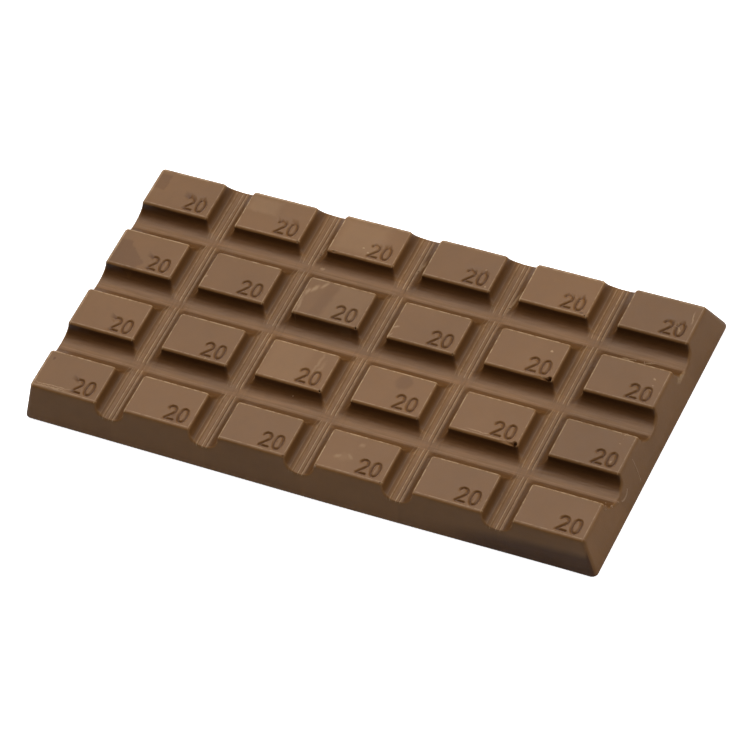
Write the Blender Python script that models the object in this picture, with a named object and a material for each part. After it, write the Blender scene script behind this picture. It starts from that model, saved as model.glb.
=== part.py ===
"""Milk chocolate bar: one moulded slab, 6 pieces long and 4 pieces wide.

Frame: metres, +X along the bar, +Y across it, +Z up. The origin is the centre of the flat underside.
"""
import math

import bmesh
import bpy

MM = 0.001

# Driving dimensions
COLUMNS = 6
ROWS = 4
PITCH_X = 24.5 * MM          # piece to piece along the bar
PITCH_Y = 18.5 * MM          # piece to piece across the bar
PIECE_X = 17.15 * MM         # top of one piece
PIECE_Y = 10.55 * MM
RIM_X = 0.15 * MM            # the outer pieces are this much longer on their outer side
RIM_Y = 0.1 * MM
HEIGHT = 9.3 * MM
SPREAD_X = 2.6 * MM          # how far each end leans out from top to bottom
SPREAD_Y = 3.4 * MM          # how far each long side leans out
CORNER_RADIUS = 1.0 * MM     # the four upright corners
TOP_RADIUS = 0.35 * MM       # rounding round the top of every piece
BASE_RADIUS = 0.4 * MM       # rounding round the underside
GROOVE_DEPTH = 3.3 * MM
GROOVE_POWER = 2.3           # 2 gives a half ellipse, more gives steeper walls and a flatter floor
DIGIT_DEPTH = 0.35 * MM
DIGIT_HEIGHT = 4.1 * MM
DIGIT_STROKE = 0.6 * MM
DIGIT_BASE = 0.95 * MM       # from the piece's front edge up to the foot of its number
DIGIT_GAP = 0.4 * MM
TWO_WIDTH = 2.7 * MM
ZERO_WIDTH = 2.7 * MM
NUMBER_RIGHT = 1.75 * MM     # from the number to the piece's right edge
TWO_START = math.radians(165)  # where the arc of the 2 begins and ends
TWO_END = math.radians(-38)
SLANT_FOOT = 1.8             # where its slanting stroke meets the foot, in stroke widths
SLANT_HEEL = 0.7

# Sizes that follow
TOP_X = (COLUMNS - 1) * PITCH_X + PIECE_X + 2 * RIM_X
TOP_Y = (ROWS - 1) * PITCH_Y + PIECE_Y + 2 * RIM_Y

CLEARANCE = 3.0 * MM         # how far the cutters stand past the surfaces they cut
NEAR = 0.01 * MM             # levels closer than this are the same level
SHARP_ANGLE = math.radians(35)
CHOCOLATE = (0.155, 0.075, 0.034, 1.0)
CHOCOLATE_ROUGHNESS = 0.5


def clear_scene():
    for item in list(bpy.data.objects):
        bpy.data.objects.remove(item, do_unlink=True)


def add_object(name, shape):
    """Put a finished bmesh into the scene as one object."""
    mesh = bpy.data.meshes.new(name)
    shape.to_mesh(mesh)
    shape.free()
    item = bpy.data.objects.new(name, mesh)
    bpy.context.collection.objects.link(item)
    return item


def face_outward(shape):
    bmesh.ops.recalc_face_normals(shape, faces=shape.faces[:])


def extrude_faces(shape, faces, direction):
    """Grow faces into a solid along one direction."""
    grown = bmesh.ops.extrude_face_region(shape, geom=faces)["geom"]
    moved = [part for part in grown if isinstance(part, bmesh.types.BMVert)]
    bmesh.ops.translate(shape, verts=moved, vec=direction)


def extrude_outline(shape, corners, direction):
    """Turn a closed outline of points into a prism."""
    ring = [shape.verts.new(corner) for corner in corners]
    extrude_faces(shape, [shape.faces.new(ring)], direction)


def bevel_edges(shape, edges, radius, segments):
    bmesh.ops.bevel(shape, geom=edges, offset=radius, segments=segments, profile=0.5, affect="EDGES")


def edges_at(shape, level):
    """Edges that lie wholly at one height."""
    return [edge for edge in shape.edges if all(abs(v.co.z - level) < NEAR for v in edge.verts)]


def make_slab():
    """A block whose four sides lean outward towards its underside."""
    slab = bmesh.new()
    bmesh.ops.create_cube(slab, size=1.0)
    for corner in slab.verts:
        spread = 0.0 if corner.co.z > 0 else 1.0
        corner.co.x = math.copysign(TOP_X / 2 + spread * SPREAD_X, corner.co.x)
        corner.co.y = math.copysign(TOP_Y / 2 + spread * SPREAD_Y, corner.co.y)
        corner.co.z = HEIGHT * (1.0 - spread)
    uprights = [edge for edge in slab.edges if abs(edge.verts[0].co.z - edge.verts[1].co.z) > HEIGHT / 2]
    bevel_edges(slab, uprights, CORNER_RADIUS, segments=5)
    bevel_edges(slab, edges_at(slab, HEIGHT), TOP_RADIUS, segments=3)
    bevel_edges(slab, edges_at(slab, 0.0), BASE_RADIUS, segments=2)
    face_outward(slab)
    return add_object("bar", slab)


def groove_outline(mouth, trough_steps=9, lip_steps=3):
    """One groove's outline as (across, height): a flat top, then a rounded lip and the trough, lip to lip."""
    half = mouth / 2
    lip_level = HEIGHT - TOP_RADIUS
    trough_depth = GROOVE_DEPTH - TOP_RADIUS
    right = []
    for k in range(lip_steps + 1):
        turn = math.pi / 2 * k / lip_steps
        right.append((half + TOP_RADIUS * (1 - math.sin(turn)), lip_level + TOP_RADIUS * math.cos(turn)))
    for k in range(1, trough_steps + 1):
        turn = math.pi / 2 * k / trough_steps
        across = half * math.cos(turn) ** (2 / GROOVE_POWER)
        down = trough_depth * math.sin(turn) ** (2 / GROOVE_POWER)
        right.append((across, lip_level - down))
    left = [(-across, level) for across, level in reversed(right[:-1])]
    wide = half + TOP_RADIUS
    above = HEIGHT + CLEARANCE
    return [(-wide, above), (wide, above)] + right + left


def make_cross_grooves():
    """The cutter for the five grooves that run across the bar."""
    grooves = bmesh.new()
    reach = TOP_Y + 2 * (SPREAD_Y + CLEARANCE)
    for k in range(COLUMNS - 1):
        middle = (k - (COLUMNS - 2) / 2) * PITCH_X
        outline = groove_outline(PITCH_X - PIECE_X)
        corners = [(middle + across, -reach / 2, level) for across, level in outline]
        extrude_outline(grooves, corners, (0.0, reach, 0.0))
    face_outward(grooves)
    return add_object("cross_grooves", grooves)


def make_long_grooves():
    """The cutter for the three grooves that run along the bar."""
    grooves = bmesh.new()
    reach = TOP_X + 2 * (SPREAD_X + CLEARANCE)
    for k in range(ROWS - 1):
        middle = (k - (ROWS - 2) / 2) * PITCH_Y
        outline = groove_outline(PITCH_Y - PIECE_Y)
        corners = [(-reach / 2, middle + across, level) for across, level in outline]
        extrude_outline(grooves, corners, (reach, 0.0, 0.0))
    face_outward(grooves)
    return add_object("long_grooves", grooves)


def arc_points(middle, radius, turns):
    return [(middle[0] + radius * math.cos(turn), middle[1] + radius * math.sin(turn)) for turn in turns]


def add_two(shape, left, foot, level, steps=8):
    """The figure 2: an arc that runs into a slanting stroke and a foot, all of one width."""
    half = DIGIT_STROKE / 2
    reach = TWO_WIDTH / 2 - half
    middle = (left + TWO_WIDTH / 2, foot + DIGIT_HEIGHT - half - reach)
    turns = [TWO_START + (TWO_END - TWO_START) * k / steps for k in range(steps + 1)]
    outer = arc_points(middle, reach + half, turns)
    inner = arc_points(middle, reach - half, turns)
    right = left + TWO_WIDTH
    base_top = foot + DIGIT_STROKE
    base = [(left + SLANT_FOOT * DIGIT_STROKE, base_top), (right, base_top), (right, foot)]
    heel = [(left, foot), (left, foot + SLANT_HEEL * DIGIT_STROKE)]
    corners = [(x, y, level) for x, y in outer + base + heel + inner[::-1]]
    extrude_outline(shape, corners, (0.0, 0.0, DIGIT_DEPTH + CLEARANCE))


def add_zero(shape, left, foot, level, steps=14):
    """The figure 0: a band bridged between two ovals."""
    rims = []
    for shrink in (0.0, DIGIT_STROKE):
        ring = []
        for k in range(steps):
            turn = 2 * math.pi * (k + 0.5) / steps
            x = left + ZERO_WIDTH / 2 + (ZERO_WIDTH / 2 - shrink) * math.cos(turn)
            y = foot + DIGIT_HEIGHT / 2 + (DIGIT_HEIGHT / 2 - shrink) * math.sin(turn)
            ring.append(shape.verts.new((x, y, level)))
        rims += [shape.edges.new(pair) for pair in zip(ring, ring[1:] + ring[:1])]
    band = bmesh.ops.bridge_loops(shape, edges=rims)["faces"]
    extrude_faces(shape, band, (0.0, 0.0, DIGIT_DEPTH + CLEARANCE))


def make_numbers():
    """The cutter for the number 20 pressed into the front right of every piece."""
    numbers = bmesh.new()
    level = HEIGHT - DIGIT_DEPTH
    for column in range(COLUMNS):
        zero_left = (column - (COLUMNS - 1) / 2) * PITCH_X + PIECE_X / 2 - NUMBER_RIGHT - ZERO_WIDTH
        two_left = zero_left - DIGIT_GAP - TWO_WIDTH
        for row in range(ROWS):
            foot = (row - (ROWS - 1) / 2) * PITCH_Y - PIECE_Y / 2 + DIGIT_BASE
            add_two(numbers, two_left, foot, level)
            add_zero(numbers, zero_left, foot, level)
    face_outward(numbers)
    return add_object("numbers", numbers)


def cut(target, cutter):
    """Take a hidden cutter out of the target."""
    cutter.hide_render = True
    cutter.display_type = "WIRE"
    boolean = target.modifiers.new(cutter.name, "BOOLEAN")
    boolean.operation = "DIFFERENCE"
    boolean.solver = "EXACT"
    boolean.object = cutter


def chocolate():
    material = bpy.data.materials.new("chocolate")
    material.use_nodes = True
    shader = material.node_tree.nodes["Principled BSDF"]
    shader.inputs["Base Color"].default_value = CHOCOLATE
    shader.inputs["Roughness"].default_value = CHOCOLATE_ROUGHNESS
    shader.inputs["Metallic"].default_value = 0.0
    return material


def main():
    clear_scene()
    bar = make_slab()
    for cutter in (make_cross_grooves(), make_long_grooves(), make_numbers()):
        cut(bar, cutter)
    bar.data.materials.append(chocolate())
    bar.data.shade_smooth()
    bar.data.set_sharp_from_angle(angle=SHARP_ANGLE)


main()
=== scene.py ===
import math
import random

import bmesh
import bpy
from mathutils import Matrix, Quaternion, Vector, noise
from mathutils.bvhtree import BVHTree
from mathutils.kdtree import KDTree


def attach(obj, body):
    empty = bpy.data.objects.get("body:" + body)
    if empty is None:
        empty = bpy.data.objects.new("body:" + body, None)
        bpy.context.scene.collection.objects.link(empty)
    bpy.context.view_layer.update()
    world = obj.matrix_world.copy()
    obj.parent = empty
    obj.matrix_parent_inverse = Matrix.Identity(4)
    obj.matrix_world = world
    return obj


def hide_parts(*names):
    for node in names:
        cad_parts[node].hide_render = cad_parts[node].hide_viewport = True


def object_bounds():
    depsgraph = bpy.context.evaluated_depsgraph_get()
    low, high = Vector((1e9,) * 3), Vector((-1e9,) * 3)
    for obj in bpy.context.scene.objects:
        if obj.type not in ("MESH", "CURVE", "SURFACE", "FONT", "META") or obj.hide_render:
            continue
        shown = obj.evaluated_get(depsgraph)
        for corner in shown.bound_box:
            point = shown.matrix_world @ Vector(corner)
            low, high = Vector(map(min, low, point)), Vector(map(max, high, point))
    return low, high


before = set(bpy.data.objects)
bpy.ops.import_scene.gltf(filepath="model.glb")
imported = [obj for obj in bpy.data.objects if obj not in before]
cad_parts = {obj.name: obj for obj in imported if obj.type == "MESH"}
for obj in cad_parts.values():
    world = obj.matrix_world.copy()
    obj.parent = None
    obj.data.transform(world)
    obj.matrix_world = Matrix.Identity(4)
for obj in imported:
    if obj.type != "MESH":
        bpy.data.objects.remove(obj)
cadLow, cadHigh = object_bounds()
mm = 0.001
print("frame loaded")


def smoothStep(low, high, value):
    share = min(1.0, max(0.0, (value - low) / (high - low)))
    return share * share * (3 - 2 * share)


def wobble(point, size, seed):
    return noise.noise(point / size + Vector((7.1, -3.3, 1.9)) * seed)


def addPiece(name, shape, material):
    mesh = bpy.data.meshes.new(name)
    shape.to_mesh(mesh)
    shape.free()
    mesh.shade_smooth()
    mesh.materials.append(material)
    piece = bpy.data.objects.new(name, mesh)
    bpy.context.collection.objects.link(piece)
    return piece


# The bar as it was moulded
bar = {
    "across": {  # from left to right
        "count": 6,
        "pitch": 24.5 * mm,
        "piece": 17.15 * mm,  # top of a piece, to where its sharp edges would be
        "extra": 0.15 * mm,  # the outer pieces are this much longer
        "spread": 2.6 * mm,  # lean of the outer side
        "rounds": {-1: 0.3 * mm, 1: 0.38 * mm},  # rounding of the low and high rim
        "depth": 3.3 * mm,  # of the troughs between the pieces
        "powers": {-1: 2.0, 1: 2.5},  # squareness of the troughs: 2 is a half ellipse
        "flats": {-1: 0.5 * mm, 1: 0.0},  # half of the level strip along the middle of a trough
        "lips": {-1: 0.0, 1: 0.0},  # how far the top stands out on that side
        "cells": 8,  # along the flat top
        "ridges": (  # place, half width and height
            (-1.87 * mm, 0.24 * mm, 0.07 * mm),
            (-0.42 * mm, 0.24 * mm, 0.13 * mm),
            (0.6 * mm, 0.26 * mm, 0.12 * mm),
        ),
        "extraLines": [place * mm for place in (-2.1, -1.87, -1.64, -0.66, -0.42, -0.18, 0.36, 0.6, 0.84)],
    },
    "along": {  # from front to back
        "count": 4,
        "pitch": 18.5 * mm,
        "piece": 10.55 * mm,
        "extra": 0.1 * mm,
        "spread": 3.4 * mm,
        "rounds": {-1: 0.62 * mm, 1: 0.3 * mm},
        "depth": 3.36 * mm,
        "powers": {-1: 1.9, 1: 2.0},
        "flats": {-1: 0.0, 1: 0.5 * mm},
        "lips": {-1: 0.14 * mm, 1: 0.0},
        "cells": 5,
        "ridges": ((-0.55 * mm, 0.3 * mm, 0.05 * mm),),
        "extraLines": (-0.85 * mm, -0.55 * mm, 0.3 * mm),
    },
    "rimSteps": 3,
    "levels": [(0.55 + 2.75 * math.sin(math.pi / 2 * k / 8) ** 0.9) * mm for k in range(1, 9)],
    "sideSteps": 6,
    "insets": [inset * mm for inset in (0.12, 0.32, 0.6, 0.9)],  # extra lines inside the rims
    "blend": 0.28 * mm,  # wear on the mitred edges
    "cornerRounds": {(-1, 1): 0.8 * mm, (1, 1): 0.9 * mm, (-1, -1): 0.4 * mm, (1, -1): 0.65 * mm},
    "endCornerTop": 0.8 * mm,  # upright corners of the bar
    "endCornerFoot": 1.5 * mm,
    "footRadius": 0.45 * mm,
    "footSteps": 4,
    "topDrop": 0.06 * mm,  # leaves room for the crumbs
}
barHeight = cadHigh.z - bar["topDrop"]
floorRing = bar["rimSteps"] + len(bar["levels"])
middleRing = floorRing + 1


def isOuter(way, k, side):
    return k == (0 if side < 0 else way["count"] - 1)


def halfTrough(way, side):
    return (way["pitch"] - way["piece"]) / 2 - way["lips"][side]


def troughDepth(way, across, side):
    rim, power, flat = way["rounds"][side], way["powers"][side], way["flats"][side]
    share = max(0.0, abs(across) - flat) / (halfTrough(way, side) - flat)
    return rim + (way["depth"] - rim) * (1 - min(1.0, share) ** power) ** (1 / power)


# One wall from the flat top down, as (distance out from the flat, depth) for each ring
def wallRings(way, k, side):
    rim = way["rounds"][side]
    outer = isOuter(way, k, side)
    lean = math.atan2(barHeight, way["spread"]) if outer else math.pi / 2
    turns = [lean * step / bar["rimSteps"] for step in range(bar["rimSteps"] + 1)]
    rings = [(rim * math.sin(turn), rim * (1 - math.cos(turn))) for turn in turns]
    if outer:
        foot = barHeight - bar["footRadius"] * (1 + math.cos(lean))
        left = foot - bar["levels"][-1]
        levels = bar["levels"] + [bar["levels"][-1] + left * step / bar["sideSteps"]
                                  for step in range(1, bar["sideSteps"] + 1)]
        out, down = rings[-1]
        return rings + [(out + (level - down) / math.tan(lean), level) for level in levels]
    half = halfTrough(way, side)
    power, flat = way["powers"][side], way["flats"][side]
    for level in bar["levels"]:
        share = min(1.0, (level - rim) / (way["depth"] - rim))
        rings.append((rim + (half - flat) * (1 - (1 - share ** power) ** (1 / power)), level))
    if way["depth"] > bar["levels"][-1]:
        rings.append((rim + half, way["depth"]))
    return rings


# Contour lines one way over the bar, low to high, each with its place, depth, piece, side and ring
def contourLines(way):
    lines = []
    for k in range(way["count"]):
        middle = (k - (way["count"] - 1) / 2) * way["pitch"]
        flats = {}
        for side in (-1, 1):
            rim, half = way["rounds"][side], halfTrough(way, side)
            rings = wallRings(way, k, side)
            outer = isOuter(way, k, side)
            lean = math.atan2(barHeight, way["spread"])
            edge = way["piece"] / 2 + (way["extra"] - rim * math.tan(lean / 2) if outer else way["lips"][side] - rim)
            flats[side] = middle + side * edge
            for ring, (out, depth) in enumerate(rings):
                shared = not outer and out > rim + half - 0.001 * mm  # the middle of a trough belongs to
                if not (shared and side < 0):  # the piece before it
                    lines.append(dict(at=flats[side] + side * out, depth=depth, k=k, side=side, ring=ring))
            if not outer:
                for across in way["extraLines"]:
                    if across * side < 0:
                        at = middle + side * way["pitch"] / 2 + across
                        lines.append(dict(at=at, depth=troughDepth(way, across, side), k=k, side=side, ring=None))
        marks = [flats[side] - side * inset for side in (-1, 1) for inset in bar["insets"]]
        low, high = flats[-1] + bar["insets"][-1], flats[1] - bar["insets"][-1]
        marks += [low + (high - low) * cell / way["cells"] for cell in range(1, way["cells"])]
        for at in marks:
            lines.append(dict(at=at, depth=0.0, k=k, side=-1 if at < middle else 1, ring=0))
    lines.sort(key=lambda line: line["at"])
    for line in lines:  # raise the fine ridges in the troughs
        across = (line["at"] / way["pitch"] + way["count"] / 2 + 0.5) % 1 * way["pitch"] - way["pitch"] / 2
        if abs(line["at"]) < (way["count"] - 1) / 2 * way["pitch"]:
            for place, width, height in way["ridges"]:
                line["depth"] -= height * (1 - smoothStep(0, width, abs(across - place)))
    return lines


# Where each ring of a piece lies, by piece, side and ring
def ringPlaces(way):
    places = {}
    for k in range(way["count"]):
        middle = (k - (way["count"] - 1) / 2) * way["pitch"]
        for side in (-1, 1):
            rim = way["rounds"][side]
            outer = isOuter(way, k, side)
            lean = math.atan2(barHeight, way["spread"])
            edge = way["piece"] / 2 + (way["extra"] - rim * math.tan(lean / 2) if outer else way["lips"][side] - rim)
            for ring, (out, _) in enumerate(wallRings(way, k, side)):
                places[k, side, ring] = middle + side * (edge + out)
    return places


linesX, linesY = contourLines(bar["across"]), contourLines(bar["along"])
ringsX, ringsY = ringPlaces(bar["across"]), ringPlaces(bar["along"])
print("contour lines", len(linesX), len(linesY))


# Bends each contour line into an arc where it turns round a corner
def roundCorner(lineX, lineY, depth):
    x, y = lineX["at"], lineY["at"]
    if lineX["ring"] is None or lineY["ring"] is None:
        return x, y
    ring = max(lineX["ring"], lineY["ring"])
    edgeX = ringsX.get((lineX["k"], lineX["side"], ring))
    edgeY = ringsY.get((lineY["k"], lineY["side"], ring))
    if edgeX is None or edgeY is None:
        return x, y
    if isOuter(bar["across"], lineX["k"], lineX["side"]) and isOuter(bar["along"], lineY["k"], lineY["side"]):
        radius = bar["endCornerTop"] + (bar["endCornerFoot"] - bar["endCornerTop"]) * depth / barHeight
    elif ring < floorRing:
        radius = bar["cornerRounds"][lineX["side"], lineY["side"]] * (1 - (ring / floorRing) ** 2)
    else:
        return x, y
    dx = lineX["side"] * (x - edgeX) + radius
    dy = lineY["side"] * (y - edgeY) + radius
    if dx <= 0 or dy <= 0:
        return x, y
    pull = max(dx, dy) / math.hypot(dx, dy) - 1
    return x + lineX["side"] * dx * pull, y + lineY["side"] * dy * pull


# The deeper of two depths, with the edge between them worn round
def worn(depthX, depthY):
    blend = bar["blend"] * smoothStep(0.3 * mm, 1.2 * mm, min(depthX, depthY))
    if blend <= 0:
        return max(depthX, depthY)
    share = max(0.0, 1 - abs(depthX - depthY) / blend)
    return max(depthX, depthY) + share * share * blend / 4


# The number pressed into each piece, from the piece's middle
number = {
    "depth": 0.34 * mm,
    "half": 0.38 * mm,  # of the stroke, to the top of its soft shoulder
    "flat": 0.08 * mm,
    "twoArc": (2.36 * mm, -1.46 * mm, 1.0 * mm, 158, -38),  # middle, radius, first and last degree
    "twoHeel": (1.36 * mm, -3.98 * mm),
    "twoToe": (3.55 * mm, -3.98 * mm),
    "zero": (5.5 * mm, -2.23 * mm, 0.92 * mm, 1.76 * mm, 2.3),  # middle, half sizes, squareness
    "low": (0.8 * mm, -4.6 * mm),  # the patch of the top that gets fine faces
    "high": (7.0 * mm, 0.15 * mm),
    "cuts": 5,
}


def along(points, step):
    found = []
    for (x0, y0), (x1, y1) in zip(points, points[1:]):
        parts = max(1, math.ceil(math.hypot(x1 - x0, y1 - y0) / step))
        found += [(x0 + (x1 - x0) * k / parts, y0 + (y1 - y0) * k / parts) for k in range(parts + 1)]
    return found


def numberLines():
    x, y, radius, first, last = number["twoArc"]
    turns = [math.radians(first + (last - first) * k / 24) for k in range(25)]
    two = [(x + radius * math.cos(turn), y + radius * math.sin(turn)) for turn in turns]
    two += [number["twoHeel"], number["twoToe"]]
    x, y, wide, tall, power = number["zero"]
    zero = []
    for k in range(49):
        c, s = math.cos(math.pi * k / 24), math.sin(math.pi * k / 24)
        zero.append((x + math.copysign(wide * abs(c) ** (2 / power), c),
                     y + math.copysign(tall * abs(s) ** (2 / power), s)))
    return along(two, 0.03 * mm) + along(zero, 0.03 * mm)


def pieceMiddle(column, row):
    return Vector(((column - (bar["across"]["count"] - 1) / 2) * bar["across"]["pitch"],
                   (row - (bar["along"]["count"] - 1) / 2) * bar["along"]["pitch"], barHeight))


def nearestPiece(point):
    column = round(point.x / bar["across"]["pitch"] + (bar["across"]["count"] - 1) / 2)
    row = round(point.y / bar["along"]["pitch"] + (bar["along"]["count"] - 1) / 2)
    return pieceMiddle(column, row)


def splitFaces(shape, faces, cuts):
    edges = list({edge for face in faces for edge in face.edges})
    bmesh.ops.subdivide_edges(shape, edges=edges, cuts=cuts, use_grid_fill=True)


def onNumberPatch(point):
    away = point - nearestPiece(point)
    low, high = number["low"], number["high"]
    return low[0] < away.x < high[0] and low[1] < away.y < high[1] and away.z > -0.001 * mm


def pressNumbers(shape):
    points = numberLines()
    tree = KDTree(len(points))
    for k, (x, y) in enumerate(points):
        tree.insert((x, y, 0), k)
    tree.balance()

    def gapTo(point):
        away = point - nearestPiece(point)
        return tree.find((away.x, away.y, 0))[2]

    splitFaces(shape, [face for face in shape.faces if onNumberPatch(face.calc_center_median())], number["cuts"])
    near = []
    for face in shape.faces:
        middle = face.calc_center_median()
        if onNumberPatch(middle) and gapTo(middle) < number["half"]:
            near.append(face)
    splitFaces(shape, near, 1)
    # a mask for the painted shade at the bottom of the pressed numbers
    strokeShade = shape.verts.layers.float.new("strokeShade")
    for v in shape.verts:
        if abs(v.co.z - barHeight) < 0.001 * mm:
            v[strokeShade] = 1 - smoothStep(0.03 * mm, 0.3 * mm, gapTo(v.co))
            v.co.z -= number["depth"] * (1 - smoothStep(number["flat"], number["half"], gapTo(v.co)))


# Small holes and dents, from a piece's middle: (column, row, x, y, radius, depth)
pits = (
    (4, 2, 7.6 * mm, -4.8 * mm, 0.57 * mm, 1.7 * mm),
    (4, 1, 7.66 * mm, -4.8 * mm, 0.57 * mm, 1.7 * mm),
    (1, 3, 8.0 * mm, -4.95 * mm, 0.2 * mm, 0.5 * mm),
    (2, 3, -6.75 * mm, -5.0 * mm, 0.24 * mm, 0.5 * mm),
    (2, 2, 7.95 * mm, -5.0 * mm, 0.26 * mm, 0.9 * mm),
    (2, 1, 7.98 * mm, -5.0 * mm, 0.26 * mm, 0.9 * mm),
    (3, 2, 8.05 * mm, -5.0 * mm, 0.17 * mm, 0.35 * mm),
    (3, 1, 8.05 * mm, -5.0 * mm, 0.15 * mm, 0.3 * mm),
    (4, 3, 7.7 * mm, -4.85 * mm, 0.2 * mm, 0.5 * mm),
    (2, 0, 8.1 * mm, -5.1 * mm, 0.2 * mm, 0.4 * mm),
    (3, 0, 7.95 * mm, -5.0 * mm, 0.16 * mm, 0.4 * mm),
    (3, 0, -8.05 * mm, -5.05 * mm, 0.16 * mm, 0.3 * mm),
)


def pressPit(shape, centre, radius, depth):
    reach = radius * 1.25 + 0.08 * mm
    cell = 0.3 * mm
    faces = [f for f in shape.faces if (f.calc_center_median() - centre).length < reach]
    while cell > radius / 2.5:
        splitFaces(shape, faces, 1)
        faces = [f for f in shape.faces if (f.calc_center_median() - centre).length < reach]
        cell /= 2
    for v in {v for f in faces for v in f.verts}:
        gap = (v.co.xy - centre.xy).length
        v.co.z -= depth * (1 - smoothStep(radius * 0.75, radius, gap))


def pressPits(shape):
    for column, row, x, y, radius, depth in pits:
        pressPit(shape, pieceMiddle(column, row) + Vector((x, y, -radius / 4)), radius, depth)


# Uneven cooling and handling: waves in the tops and troughs, and a front edge that is not quite straight
wear = {
    "top": 0.02 * mm,
    "rim": 0.05 * mm,
    "trough": 0.035 * mm,
    "bow": 0.55 * mm,  # how far the front draws back at the right end
}


def wearDown(shape):
    for v in shape.verts:
        spot = v.co.copy()
        depth = barHeight - spot.z
        free = smoothStep(0, 1.2 * mm, min(71 * mm - abs(spot.x), 35 * mm - abs(spot.y)))
        rim = smoothStep(0.01 * mm, 0.2 * mm, depth) * (1 - smoothStep(0.5 * mm, 1.2 * mm, depth))
        v.co.z -= wear["top"] * (0.5 + wobble(spot, 7 * mm, 3)) * free
        if depth > 0.01 * mm:
            push = wear["rim"] * rim + wear["trough"] * smoothStep(1 * mm, 2.5 * mm, depth)
            v.co.x += push * wobble(spot, 1.7 * mm, 4) * free
            v.co.y += push * wobble(spot, 1.7 * mm, 5) * free
            v.co.z += 0.6 * push * wobble(spot, 1.3 * mm, 6) * free
        v.co.y += wear["bow"] * smoothStep(33.1 * mm, 36 * mm, -spot.y) * smoothStep(0, 74 * mm, spot.x)


# Keeps which way the sides of the troughs face, for the material
def markTroughs(shape):
    lean = shape.verts.layers.float_vector.new("lean")
    shape.normal_update()
    endX, endY = (bar["across"]["pitch"] * 2.5 + bar["across"]["piece"] / 2,
                  bar["along"]["pitch"] * 1.5 + bar["along"]["piece"] / 2)
    for v in shape.verts:
        depth = barHeight - v.co.z
        inside = min(endX + 0.28 * depth - abs(v.co.x), endY + 0.37 * depth - abs(v.co.y))
        share = smoothStep(0, 0.5 * mm, inside) * smoothStep(0.2 * mm, 0.7 * mm, depth)
        v[lean] = v.normal * share


# Extrudes the open rim by one ring; place gives each new vertex its spot from the old one's
def growRing(shape, edges, heading, place):
    grown = bmesh.ops.extrude_edge_only(shape, edges=edges)["geom"]
    fresh = [v for v in grown if isinstance(v, bmesh.types.BMVert)]
    newHeading = {}
    for v in fresh:
        old = next(e.other_vert(v) for e in v.link_edges if e.other_vert(v) in heading)
        newHeading[v] = heading[old]
        v.co = place(*heading[old])
    edges = [e for e in grown if isinstance(e, bmesh.types.BMEdge) and e.is_boundary]
    return edges, newHeading


underside = {
    "band": 1.6 * mm,  # flat rim that it rests on
    "rise": 0.12 * mm,  # of the poured face inside the rim, at most
    "cellsX": 48,
    "cellsY": 24,
}


def closeUnderside(shape):
    edges = [e for e in shape.edges if e.is_boundary]
    heading = {}
    for v in {v for e in edges for v in e.verts}:
        outward = Vector((0, 0, 0))
        for e in v.link_edges:
            if e.is_boundary:
                way = e.other_vert(v).co - v.co
                side = Vector((way.y, -way.x, 0))
                outward += side if side.dot(v.co) > 0 else -side
        heading[v] = (v.co.copy(), outward.normalized())
    radius = bar["footRadius"]
    for step in range(1, bar["footSteps"] + 1):
        def onArc(start, outward):
            first = math.asin(max(-1.0, min(1.0, start.z / radius - 1)))
            turn = first - (first + math.pi / 2) * step / bar["footSteps"]
            out = radius * (math.cos(turn) - math.cos(first))
            return start + outward * out + Vector((0, 0, radius * (math.sin(turn) - math.sin(first))))
        edges, heading = growRing(shape, edges, heading, onArc)
    for inset in (0.8 * mm, underside["band"]):
        def onBand(start, outward):
            spot = start - outward * (inset + radius)
            return Vector((spot.x, spot.y, 0))
        edges, heading = growRing(shape, edges, heading, onBand)
    wide = max(v.co.x for v in heading) - 0.6 * mm
    deep = max(v.co.y for v in heading) - 0.6 * mm
    face = bmesh.ops.create_grid(shape, x_segments=underside["cellsX"], y_segments=underside["cellsY"], size=1)
    for v in face["verts"]:
        v.co = Vector((v.co.x * wide, v.co.y * deep, 0))
        edge = min(wide - abs(v.co.x), deep - abs(v.co.y))
        ripple = 0.5 + 0.5 * wobble(v.co, 9 * mm, 1) + 0.25 * wobble(v.co, 3 * mm, 2)
        v.co.z = underside["rise"] * smoothStep(-1 * mm, 4 * mm, edge) * max(0.05, min(1.0, ripple))
    inner = {e for v in face["verts"] for e in v.link_edges if e.is_boundary}
    bmesh.ops.bridge_loops(shape, edges=edges + list(inner))
    bmesh.ops.recalc_face_normals(shape, faces=shape.faces)


def buildBar():
    shape = bmesh.new()
    cellsX, cellsY = len(linesX) - 1, len(linesY) - 1
    bmesh.ops.create_grid(shape, x_segments=cellsX, y_segments=cellsY, size=0.5)
    for v in shape.verts:
        lineX = linesX[round((v.co.x + 0.5) * cellsX)]
        lineY = linesY[round((v.co.y + 0.5) * cellsY)]
        depth = worn(lineX["depth"], lineY["depth"])
        x, y = roundCorner(lineX, lineY, depth)
        v.co = Vector((x, y, barHeight - depth))
    print("bar grid", len(shape.faces))
    pressNumbers(shape)
    print("numbers pressed", len(shape.faces))
    pressPits(shape)
    print("pits pressed", len(shape.faces))
    wearDown(shape)
    markTroughs(shape)
    closeUnderside(shape)
    return shape


def addNode(tree, kind, inputs=None, **settings):
    node = tree.nodes.new(kind)
    for key, value in settings.items():
        setattr(node, key, value)
    for key, value in (inputs or {}).items():
        if isinstance(value, bpy.types.NodeSocket):
            tree.links.new(value, node.inputs[key])
        else:
            node.inputs[key].default_value = value
    return node


def calc(tree, operation, *values):
    return addNode(tree, "ShaderNodeMath", dict(enumerate(values)), operation=operation).outputs[0]


def ramp(tree, value, low, high, first=0.0, last=1.0):
    inputs = {"Value": value, "From Min": low, "From Max": high, "To Min": first, "To Max": last}
    return addNode(tree, "ShaderNodeMapRange", inputs, interpolation_type="SMOOTHSTEP").outputs[0]


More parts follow.
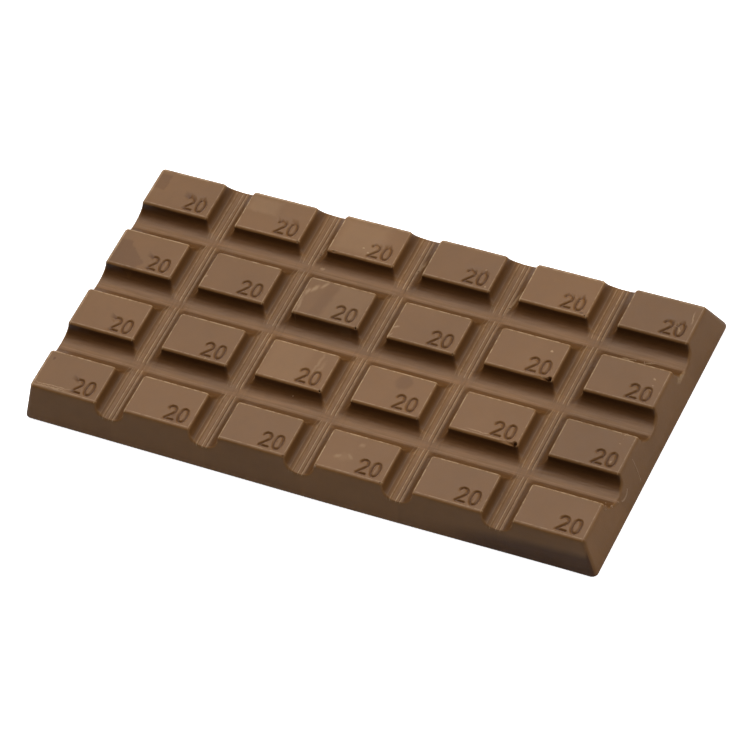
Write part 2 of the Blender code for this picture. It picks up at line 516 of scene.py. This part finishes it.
def softLine(tree, value, middle, half):
    return ramp(tree, calc(tree, "ABSOLUTE", calc(tree, "SUBTRACT", value, middle)), 0.0, half, 1.0, 0.0)


def product(tree, *values):
    total = values[0]
    for value in values[1:]:
        total = calc(tree, "MULTIPLY", total, value)
    return total


def highest(tree, values):
    total = values[0]
    for value in values[1:]:
        total = calc(tree, "MAXIMUM", total, value)
    return total


def noiseOf(tree, vector, scale, detail=2.0, rough=0.5):
    inputs = {"Vector": vector, "Scale": scale, "Detail": detail, "Roughness": rough}
    return addNode(tree, "ShaderNodeTexNoise", inputs).outputs


def newGroup(name, inputs, outputs):
    tree = bpy.data.node_groups.new(name, "ShaderNodeTree")
    for label in inputs:
        kind = "NodeSocketVector" if label == "Vector" else "NodeSocketFloat"
        tree.interface.new_socket(label, in_out="INPUT", socket_type=kind)
    for label in outputs:
        tree.interface.new_socket(label, in_out="OUTPUT", socket_type="NodeSocketFloat")
    return tree, tree.nodes.new("NodeGroupInput").outputs, tree.nodes.new("NodeGroupOutput").inputs


# Cloudy tone, mottling and grain of set chocolate, from a place in millimetres
def mottleGroup():
    tree, given, result = newGroup("chocolateMottle", ["Vector"], ["Shade", "Height", "Matt"])
    cloud = noiseOf(tree, given["Vector"], 0.09, 2.0)[0]
    patch = noiseOf(tree, given["Vector"], 0.45, 3.0)[0]
    grain = noiseOf(tree, given["Vector"], 2.6, 2.0, 0.6)[0]
    total = calc(tree, "MULTIPLY_ADD", cloud, 0.22, 0.79)
    total = calc(tree, "MULTIPLY_ADD", patch, 0.12, total)
    total = calc(tree, "MULTIPLY_ADD", grain, 0.08, total)
    tree.links.new(total, result["Shade"])
    tree.links.new(calc(tree, "MULTIPLY_ADD", patch, 1.6, grain), result["Height"])
    tree.links.new(calc(tree, "ADD", patch, grain), result["Matt"])
    return tree


# A spot or a squared patch round the origin with soft edges
def patchGroup():
    tree, given, result = newGroup("softPatch", ["Vector", "Square", "Soft"], ["Mask"])
    parts = addNode(tree, "ShaderNodeSeparateXYZ", {0: given["Vector"]}).outputs
    x, y = calc(tree, "ABSOLUTE", parts[0]), calc(tree, "ABSOLUTE", parts[1])
    round_ = calc(tree, "SQRT", calc(tree, "ADD", product(tree, x, x), product(tree, y, y)))
    square = calc(tree, "MAXIMUM", x, y)
    reach = calc(tree, "ADD", product(tree, square, given["Square"]),
                 product(tree, round_, calc(tree, "SUBTRACT", 1.0, given["Square"])))
    inner = calc(tree, "SUBTRACT", 1.0, given["Soft"])
    outer = calc(tree, "ADD", 1.0, given["Soft"])
    tree.links.new(ramp(tree, reach, inner, outer, 1.0, 0.0), result["Mask"])
    return tree


mottle, softPatch = mottleGroup(), patchGroup()

# Stains and scuffs in mm: middle, half sizes, turn, square or not, softness, strength
darkMarks = (
    (-68.0, 29.6, 1.4, 2.3, 0, 1, 0.15, 0.5),
    (-67.8, 8.0, 1.6, 3.6, 0, 1, 0.1, 0.55),
    (-65.3, 6.9, 3.7, 2.3, -38, 1, 0.1, 0.55),
    (-68.1, -24.6, 0.35, 0.35, 0, 0, 0.4, 1.2),
    (-14.8, 9.0, 1.3, 4.8, -8, 1, 0.5, 0.25),
    (-32.8, -31.0, 1.2, 1.4, 0, 0, 0.4, 0.6),
    (41.8, 26.2, 0.36, 0.3, 0, 0, 0.4, 1.1),
    (43.6, 23.4, 0.36, 0.3, 0, 0, 0.4, 1.1),
    (13.4, -6.4, 2.0, 1.9, 20, 0, 0.25, 0.5),
)
lightMarks = (
    (-64.8, -31.7, 3.9, 0.13, 1, 1, 0.6, 0.5),
    (-65.0, -32.25, 3.5, 0.13, 1, 1, 0.6, 0.5),
    (-41.0, 30.0, 3.8, 2.0, 0, 1, 0.3, 0.14),
    (-14.4, 28.0, 5.6, 4.3, 0, 1, 0.3, 0.12),
    (-11.0, 24.6, 0.3, 0.2, 30, 0, 0.5, 0.6),
    (-12.6, 25.5, 0.3, 0.2, 10, 0, 0.5, 0.6),
    (-18.4, 11.6, 1.0, 0.5, 65, 0, 0.8, 0.55),
    (-16.6, 13.0, 0.9, 0.4, 55, 0, 0.8, 0.5),
    (-19.6, 10.5, 0.9, 0.4, 75, 0, 0.8, 0.5),
    (-19.9, 6.6, 2.4, 0.3, 92, 0, 0.8, 0.35),
    (-9.0, 9.0, 4.2, 5.2, -8, 1, 0.2, 0.1),
    (-15.5, -9.2, 5.0, 5.2, 0, 1, 0.3, 0.08),
    (-7.9, -7.5, 2.8, 0.32, 85, 0, 0.9, 0.25),
    (-6.9, -9.2, 2.2, 0.35, 80, 0, 0.9, 0.2),
    (-45.3, 5.5, 0.3, 0.2, 20, 0, 0.5, 0.5),
    (-44.8, 7.3, 0.35, 0.2, 40, 0, 0.5, 0.5),
    (-34.0, -14.0, 0.3, 0.2, 0, 0, 0.5, 0.5),
    (-23.1, 23.8, 1.8, 0.25, 88, 0, 0.6, 0.4),
    (-21.0, 19.4, 0.5, 0.3, 20, 0, 0.6, 0.4),
    (1.1, 26.2, 1.9, 0.45, 78, 0, 0.6, 0.4),
    (26.1, 23.4, 2.5, 0.4, 80, 0, 0.6, 0.4),
    (57.0, 16.6, 1.9, 0.24, 12, 0, 0.7, 0.4),
    (60.4, 15.6, 2.1, 0.22, -10, 0, 0.7, 0.4),
    (62.6, 17.1, 1.2, 0.2, 22, 0, 0.7, 0.4),
    (68.2, 29.5, 1.5, 0.2, 98, 0, 0.6, 0.6),
    (66.2, 26.0, 1.3, 0.2, 112, 0, 0.6, 0.5),
    (19.3, 23.7, 0.32, 0.22, 0, 0, 0.5, 0.6),
    (17.5, 28.0, 0.28, 0.2, 40, 0, 0.5, 0.5),
    (4.5, 7.2, 0.7, 0.2, 40, 0, 0.8, 0.5),
    (4.2, 5.0, 0.6, 0.2, 50, 0, 0.8, 0.45),
    (41.6, 11.5, 0.35, 0.25, 0, 0, 0.5, 0.8),
    (67.0, 8.3, 0.25, 0.2, 0, 0, 0.5, 0.6),
    (67.1, 9.8, 0.25, 0.2, 0, 0, 0.5, 0.5),
    (66.9, 11.3, 0.3, 0.2, 0, 0, 0.5, 0.6),
    (36.0, -13.5, 3.0, 0.13, 0, 0, 0.6, 0.45),
    (66.8, -4.5, 0.22, 0.2, 0, 0, 0.5, 0.6),
    (66.8, -7.0, 0.22, 0.2, 0, 0, 0.5, 0.5),
    (66.9, -9.6, 0.25, 0.2, 0, 0, 0.5, 0.6),
    (66.8, -12.0, 0.22, 0.2, 0, 0, 0.5, 0.6),
    (7.9, -29.1, 0.8, 0.45, 20, 0, 0.9, 0.3),
    (10.7, -28.4, 0.7, 0.4, -20, 0, 0.9, 0.28),
    (12.0, -24.9, 0.6, 0.45, 30, 0, 0.9, 0.26),
    (9.4, -28.9, 1.6, 0.9, 10, 0, 0.9, 0.1),
    (70.9, 15.8, 0.25, 1.7, 0, 0, 0.6, 0.5),
)

tint = {
    "base": (0.2, 0.092, 0.028, 1),
    "dark": (0.13, 0.052, 0.012, 1),  # under stains
    "strokeShade": (0.085, 0.03, 0.006, 1),  # painted shade at the bottom of the pressed numbers
    "rubAndHighlight": (0.46, 0.3, 0.16, 1),  # rubbed and bloomed surface, and painted highlights on the rims and ridges
    "trough": (0.112, 0.046, 0.011, 1),  # painted shade on the left- and back-facing sides of the troughs
    "wallShade": (0.095, 0.037, 0.009, 1),  # painted shade on the deep front-facing walls of the pieces, and half as much on the right-facing walls
    "crumb": (0.28, 0.165, 0.09),
    "roughness": 0.45,
    "specular": 0.25,
    "bump": 0.02 * mm,
}


def marksOf(tree, vector, marks):
    masks = []
    for x, y, wide, deep, turn, square, soft, strength in marks:
        mapped = addNode(tree, "ShaderNodeMapping", {"Vector": vector}, vector_type="TEXTURE")
        mapped.inputs["Location"].default_value = (x, y, 0)
        mapped.inputs["Rotation"].default_value = (0, 0, math.radians(turn))
        mapped.inputs["Scale"].default_value = (wide, deep, 1)
        inputs = {"Vector": mapped.outputs[0], "Square": square, "Soft": soft}
        patch = tree.nodes.new("ShaderNodeGroup")
        patch.node_tree = softPatch
        for key, value in inputs.items():
            if key == "Vector":
                tree.links.new(value, patch.inputs[key])
            else:
                patch.inputs[key].default_value = value
        masks.append(calc(tree, "MULTIPLY", patch.outputs[0], strength))
    return highest(tree, masks)


def milkChocolate():
    material = bpy.data.materials.new("milkChocolate")
    material.use_nodes = True
    tree = material.node_tree
    shader = tree.nodes["Principled BSDF"]
    place = addNode(tree, "ShaderNodeTexCoord").outputs["Object"]
    spot = addNode(tree, "ShaderNodeMapping", {"Vector": place, "Scale": (1000, 1000, 1000)}).outputs[0]
    x, y, z = addNode(tree, "ShaderNodeSeparateXYZ", {0: spot}).outputs
    depth = calc(tree, "SUBTRACT", barHeight / mm, z)

    # where on its own piece, and how far from the middle of the nearest trough
    away, groove, cell = [], [], []
    for value, way in ((x, bar["across"]), (y, bar["along"])):
        pitch, count = way["pitch"] / mm, way["count"]
        index = calc(tree, "FLOOR", calc(tree, "MULTIPLY_ADD", value, 1 / pitch, count / 2))
        index = calc(tree, "MINIMUM", calc(tree, "MAXIMUM", index, 0.0), count - 1.0)
        middle = calc(tree, "MULTIPLY_ADD", index, pitch, -(count - 1) / 2 * pitch)
        nearest = calc(tree, "ROUND", calc(tree, "MULTIPLY", value, 1 / pitch))
        cell.append(index)
        away.append(calc(tree, "SUBTRACT", value, middle))
        groove.append(calc(tree, "MULTIPLY_ADD", nearest, -pitch, value))
    code = addNode(tree, "ShaderNodeCombineXYZ", {0: cell[0], 1: cell[1], 2: 4.0}).outputs[0]
    tone = addNode(tree, "ShaderNodeTexWhiteNoise", {"Vector": code}).outputs["Value"]

    mottled = tree.nodes.new("ShaderNodeGroup")
    mottled.node_tree = mottle
    tree.links.new(spot, mottled.inputs["Vector"])
    streaks = noiseOf(tree, spot, 0.7, 3.0)[0]
    ragged = ramp(tree, streaks, 0.36, 0.62, 0.25, 1.0)

    # fine lines along the troughs
    absX, absY = (calc(tree, "ABSOLUTE", value) for value in groove)
    lanes = []
    for gap, stretch, reach in ((absX, (2.6, 0.16, 0.3), 3.6), (absY, (0.16, 2.2, 0.3), 3.9)):
        lane = addNode(tree, "ShaderNodeMapping", {"Vector": spot, "Scale": stretch}).outputs[0]
        drawn = calc(tree, "SUBTRACT", noiseOf(tree, lane, 1.0, 3.0, 0.65)[0], 0.5)
        lanes.append(product(tree, drawn, ramp(tree, gap, reach - 0.5, reach, 1.0, 0.0)))
    lean = addNode(tree, "ShaderNodeAttribute", attribute_name="lean").outputs["Vector"]
    inTrough = addNode(tree, "ShaderNodeVectorMath", {0: lean}, operation="LENGTH").outputs["Value"]
    striped = product(tree, calc(tree, "ADD", lanes[0], lanes[1]), inTrough)

    # painted highlights on the rims, strongest on the left and back rims, over some rubbing
    edgeX = calc(tree, "SUBTRACT", calc(tree, "ABSOLUTE", away[0]), bar["across"]["piece"] / 2 / mm)
    edgeY = calc(tree, "SUBTRACT", calc(tree, "ABSOLUTE", away[1]), bar["along"]["piece"] / 2 / mm)
    right, back = ramp(tree, away[0], -0.5, 0.5), ramp(tree, away[1], -0.5, 0.5)
    near = ramp(tree, depth, 0.3, 0.6, 1.0, 0.0)
    besideX, besideY = ramp(tree, edgeX, -0.1, 0.2, 1.0, 0.0), ramp(tree, edgeY, -0.1, 0.2, 1.0, 0.0)
    rimLeft = product(tree, softLine(tree, edgeX, -0.24, 0.26), calc(tree, "SUBTRACT", 1.0, right), besideY, 1.0)
    rimRight = product(tree, softLine(tree, edgeX, -0.42, 0.2), right, besideY, 0.5)
    rimBack = product(tree, softLine(tree, edgeY, -0.24, 0.26), back, besideX, 1.0)
    rimFront = product(tree, softLine(tree, edgeY, -0.52, 0.22), calc(tree, "SUBTRACT", 1.0, back), besideX, 0.45)
    rimHighlightAndRub = product(tree, highest(tree, [rimLeft, rimRight, rimBack, rimFront]), near, ragged)

    # painted highlights along the ridges in the troughs
    deepX = product(tree, ramp(tree, depth, 2.2, 2.8), ramp(tree, depth, 3.45, 3.7, 1.0, 0.0))
    apartX, apartY = ramp(tree, absX, 1.0, 2.0), ramp(tree, absY, 0.7, 1.3)
    innerX = ramp(tree, calc(tree, "ABSOLUTE", x), 60.0, 61.5, 1.0, 0.0)
    lines = []
    for middle, half, strength in ((-0.42, 0.18, 0.85), (0.6, 0.19, 0.7), (-1.87, 0.22, 0.45),
                                   (-2.7, 0.16, 0.2), (-1.4, 0.14, 0.2)):
        lines.append(calc(tree, "MULTIPLY", softLine(tree, groove[0], middle, half), strength))
    ridgeHighlightX = product(tree, highest(tree, lines), deepX, apartY, innerX)
    ridgeHighlightY = product(tree, softLine(tree, groove[1], -0.55, 0.25), deepX, apartX, 0.12)
    ridges = product(tree, calc(tree, "MAXIMUM", ridgeHighlightX, ridgeHighlightY), ramp(tree, streaks, 0.3, 0.6, 0.4, 1.0))

    # marks, with edges that wander
    wander = addNode(tree, "ShaderNodeVectorMath", {0: noiseOf(tree, spot, 0.8, 3.0)[1], 1: (-0.5, -0.5, -0.5)},
                     operation="ADD").outputs[0]
    bent = addNode(tree, "ShaderNodeVectorMath", {0: wander, 1: (1.2, 1.2, 0), 2: spot},
                   operation="MULTIPLY_ADD").outputs[0]
    upper = ramp(tree, depth, 3.4, 4.2, 1.0, 0.0)
    stains = product(tree, marksOf(tree, bent, darkMarks), upper)
    scuffs = product(tree, marksOf(tree, bent, lightMarks), upper)

    leanX, leanY, _ = addNode(tree, "ShaderNodeSeparateXYZ", {0: lean}).outputs
    # painted shade on the sides of the troughs that face left and back
    troughSideShade = calc(tree, "MAXIMUM", ramp(tree, leanX, -0.05, -0.25, 0.0, 1.0), ramp(tree, leanY, 0.05, 0.25))
    troughSideShade = product(tree, troughSideShade, ramp(tree, depth, 1.2, 2.2))
    # painted shade on the front-facing walls, and half as much on the right-facing walls
    wallShadeMask = calc(tree, "MAXIMUM", ramp(tree, leanY, -0.04, -0.65), ramp(tree, leanX, 0.2, 0.8, 0.0, 0.5))
    # pale rubbing and bloom marks, together with painted highlights on the rims and ridges
    rubAndHighlight = highest(tree, [rimHighlightAndRub, ridges, scuffs])
    # painted shade at the bottom of the pressed numbers
    strokeShadeMask = addNode(tree, "ShaderNodeAttribute", attribute_name="strokeShade").outputs["Fac"]
    color = tint["base"]
    for mask, key, share in ((troughSideShade, "trough", 0.9), (wallShadeMask, "wallShade", 1.0), (stains, "dark", 1.0), (rubAndHighlight, "rubAndHighlight", 1.0),
                             (strokeShadeMask, "strokeShade", 0.9)):
        mix = addNode(tree, "ShaderNodeMix", {"Factor": calc(tree, "MULTIPLY", mask, share)}, data_type="RGBA")
        mix.inputs["B"].default_value = tint[key]
        if isinstance(color, tuple):
            mix.inputs["A"].default_value = color
        else:
            tree.links.new(color, mix.inputs["A"])
        color = mix.outputs["Result"]
    shade = calc(tree, "MULTIPLY_ADD", tone, 0.14, 0.93)
    # the right end of the bar is painted up to a tenth darker, as shade falling off towards the right
    shade = product(tree, shade, mottled.outputs["Shade"], ramp(tree, x, 44.0, 56.0, 1.0, 0.9),
                    calc(tree, "MULTIPLY_ADD", striped, 0.6, 1.0))
    tinted = addNode(tree, "ShaderNodeVectorMath", {0: color, "Scale": shade}, operation="SCALE").outputs[0]
    tree.links.new(tinted, shader.inputs["Base Color"])
    matt = calc(tree, "MULTIPLY_ADD", mottled.outputs["Matt"], 0.12, tint["roughness"] - 0.12)
    tree.links.new(calc(tree, "MULTIPLY_ADD", rubAndHighlight, 0.1, matt), shader.inputs["Roughness"])
    shader.inputs["Specular IOR Level"].default_value = tint["specular"]
    height = calc(tree, "MULTIPLY_ADD", striped, 3.0, mottled.outputs["Height"])
    bump = addNode(tree, "ShaderNodeBump", {"Height": height, "Strength": 1.0})
    bump.inputs["Distance"].default_value = tint["bump"]
    tree.links.new(bump.outputs[0], shader.inputs["Normal"])
    return material


shape = buildBar()
surface = BVHTree.FromBMesh(shape)
piece = addPiece("chocolate_bar", shape, milkChocolate())
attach(piece, "root")
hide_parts("bar")
print("bar built")


camera = {
    "aim": (6.06 * mm, -6.49 * mm, 9.3 * mm),
    "distance": 957.1 * mm,
    "azimuth": 40.903,
    "elevation": 50.787,
    "roll": -18.657,
    "lens": 206.46,
}


def addCamera():
    data = bpy.data.cameras.new("camera")
    data.lens = camera["lens"]
    data.sensor_width = 36
    data.clip_start = 0.05
    item = bpy.data.objects.new("camera", data)
    turn, rise = math.radians(camera["azimuth"]), math.radians(camera["elevation"])
    back = Vector((math.sin(turn) * math.cos(rise), -math.cos(turn) * math.cos(rise), math.sin(rise)))
    item.location = Vector(camera["aim"]) + back * camera["distance"]
    item.rotation_mode = "QUATERNION"
    level = (-back).to_track_quat("-Z", "Y")
    item.rotation_quaternion = level @ Quaternion((0, 0, 1), math.radians(camera["roll"]))
    bpy.context.collection.objects.link(item)
    bpy.context.scene.camera = item


addCamera()

# floor
floorShape = bmesh.new()
bmesh.ops.create_grid(floorShape, x_segments=1, y_segments=1, size=4)
white = bpy.data.materials.new("paleFloor")
white.use_nodes = True
nodes, links = white.node_tree.nodes, white.node_tree.links
nodes["Principled BSDF"].inputs["Base Color"].default_value = (0.9, 0.9, 0.9, 1)
nodes["Principled BSDF"].inputs["Roughness"].default_value = 0.6
lightPath = nodes.new("ShaderNodeLightPath")
nodes["Principled BSDF"].inputs["Emission Color"].default_value = (1, 1, 1, 1)
scale = nodes.new("ShaderNodeMath")
scale.operation = "MULTIPLY"
scale.inputs[1].default_value = 0.9
links.new(lightPath.outputs["Is Camera Ray"], scale.inputs[0])
links.new(scale.outputs[0], nodes["Principled BSDF"].inputs["Emission Strength"])
floor = addPiece("floor", floorShape, white)

# Crumbs and fine shavings that cling to the bar: x, y, size and seed
crumbs = (
    (70.6, -21.2, 0.3, 1), (70.3, -23.3, 0.26, 2), (68.3, -23.4, 0.22, 3), (71.0, -19.2, 0.24, 4),
    (69.9, -22.2, 0.17, 5), (4.06, -33.1, 0.3, 6), (68.9, -20.6, 0.17, 7), (57.8, 16.2, 0.2, 8),
    (61.4, 15.9, 0.2, 9), (-23.3, 22.9, 0.18, 10), (0.9, 25.3, 0.2, 11), (25.9, 21.8, 0.2, 12),
    (-10.8, -15.9, 0.15, 13), (29.2, -3.4, 0.14, 14), (66.0, -4.5, 0.13, 15), (67.2, -4.1, 0.16, 16),
    (68.8, -4.3, 0.15, 17), (69.5, -4.7, 0.17, 18), (67.8, -23.1, 0.15, 19), (69.2, -23.5, 0.13, 20),
    (66.9, -5.6, 0.11, 21), (69.3, -6.4, 0.12, 22), (59.3, 16.8, 0.15, 23), (62.9, 17.3, 0.14, 24),
)
shavings = (  # x, y, length, turn and curl
    (70.35, -9.1, 2.1, -112, 30),
    (71.2, -14.8, 3.4, -166, 25),
    (66.3, 26.4, 1.5, 115, 40),
    (62.0, 16.3, 1.2, 70, 60),
)


def groundAt(x, y):
    return surface.ray_cast(Vector((x, y, 20 * mm)), Vector((0, 0, -1)))[0].z


def buildCrumbs():
    shape = bmesh.new()
    for x, y, size, seed in crumbs:
        x, y, size = x * mm, y * mm, size * mm
        made = bmesh.ops.create_icosphere(shape, subdivisions=3, radius=size)["verts"]
        low = groundAt(x, y)
        for v in made:
            lump = 1 + 0.5 * wobble(v.co, 0.9 * size, seed) + 0.2 * wobble(v.co, 0.35 * size, seed + 20)
            v.co = Vector((v.co.x * lump * 1.2, v.co.y * lump * 0.9, v.co.z * lump * 0.75))
        bmesh.ops.rotate(shape, verts=made, cent=(0, 0, 0), matrix=Matrix.Rotation(seed * 1.7, 3, "Z"))
        top = min(low + 0.25 * size, cadHigh.z - 1.15 * size)
        bmesh.ops.translate(shape, verts=made, vec=(min(x, cadHigh.x - 1.7 * size), y, top))
    for x, y, length, turn, curl in shavings:
        x, y, length = x * mm, y * mm, length * mm
        ring = bmesh.ops.create_circle(shape, cap_ends=True, segments=8, radius=0.07 * mm)["verts"]
        bmesh.ops.scale(shape, verts=ring, vec=(1, 0.6, 1))
        bmesh.ops.rotate(shape, verts=ring, cent=(0, 0, 0), matrix=Matrix.Rotation(math.pi / 2, 3, "X"))
        faces = list({f for v in ring for f in v.link_faces})
        bend = length / math.radians(curl)
        bmesh.ops.spin(shape, geom=faces, cent=(bend, 0, 0), axis=(0, 0, 1), dvec=(0, 0, 0),
                       angle=-math.radians(curl), steps=20, use_duplicate=False)
        made = set(ring)
        reach = list(made)
        while reach:
            for edge in reach.pop().link_edges:
                for v in edge.verts:
                    if v not in made:
                        made.add(v)
                        reach.append(v)
        made = list(made)
        bmesh.ops.rotate(shape, verts=made, cent=(0, 0, 0), matrix=Matrix.Rotation(math.radians(turn), 3, "Z"))
        bmesh.ops.translate(shape, verts=made, vec=(x, y, 0))
        for v in made:
            v.co.x = min(v.co.x, cadHigh.x - 0.1 * mm)
            v.co.z += min(groundAt(v.co.x, v.co.y) + 0.04 * mm, cadHigh.z - 0.09 * mm)
    bmesh.ops.recalc_face_normals(shape, faces=shape.faces)
    return shape


def crumbChocolate():
    material = bpy.data.materials.new("crumbChocolate")
    material.use_nodes = True
    tree = material.node_tree
    shader = tree.nodes["Principled BSDF"]
    place = addNode(tree, "ShaderNodeTexCoord").outputs["Object"]
    spot = addNode(tree, "ShaderNodeMapping", {"Vector": place, "Scale": (4000, 4000, 4000)}).outputs[0]
    mottled = tree.nodes.new("ShaderNodeGroup")
    mottled.node_tree = mottle
    tree.links.new(spot, mottled.inputs["Vector"])
    tinted = addNode(tree, "ShaderNodeVectorMath", {0: tint["crumb"], "Scale": mottled.outputs["Shade"]},
                     operation="SCALE").outputs[0]
    tree.links.new(tinted, shader.inputs["Base Color"])
    shader.inputs["Roughness"].default_value = 0.6
    shader.inputs["Specular IOR Level"].default_value = tint["specular"]
    bump = addNode(tree, "ShaderNodeBump", {"Height": mottled.outputs["Height"], "Strength": 1.0})
    bump.inputs["Distance"].default_value = tint["bump"]
    tree.links.new(bump.outputs[0], shader.inputs["Normal"])
    return material


piece = addPiece("crumbs", buildCrumbs(), crumbChocolate())
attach(piece, "root")
print("crumbs built")

# Soft lights a metre away: azimuth, elevation, width, height and brightness
softboxes = (
    (140, 62, 0.9, 0.6, 2.75),
    (20, 40, 0.6, 0.6, 1.35),
    (140, 10, 0.9, 0.25, 0.7),
    (290, 9, 0.55, 0.25, 0.17),
)
for k, (azimuth, elevation, width, height, brightness) in enumerate(softboxes):
    softbox = bpy.data.lights.new(f"softbox{k}", "AREA")
    softbox.shape = "RECTANGLE"
    softbox.size, softbox.size_y, softbox.energy = width, height, brightness * math.pi
    item = bpy.data.objects.new(f"softbox{k}", softbox)
    turn, rise = math.radians(azimuth), math.radians(elevation)
    item.location = (math.cos(turn) * math.cos(rise), math.sin(turn) * math.cos(rise), math.sin(rise))
    item.rotation_mode = "QUATERNION"
    item.rotation_quaternion = (-item.location).to_track_quat("-Z", "Y")
    bpy.context.collection.objects.link(item)

world = bpy.data.worlds.new("world")
bpy.context.scene.world = world
world.use_nodes = True
world.node_tree.nodes["Background"].inputs["Color"].default_value = (1, 1, 1, 1)
world.node_tree.nodes["Background"].inputs["Strength"].default_value = 0.0
bpy.context.scene.view_settings.view_transform = "Standard"
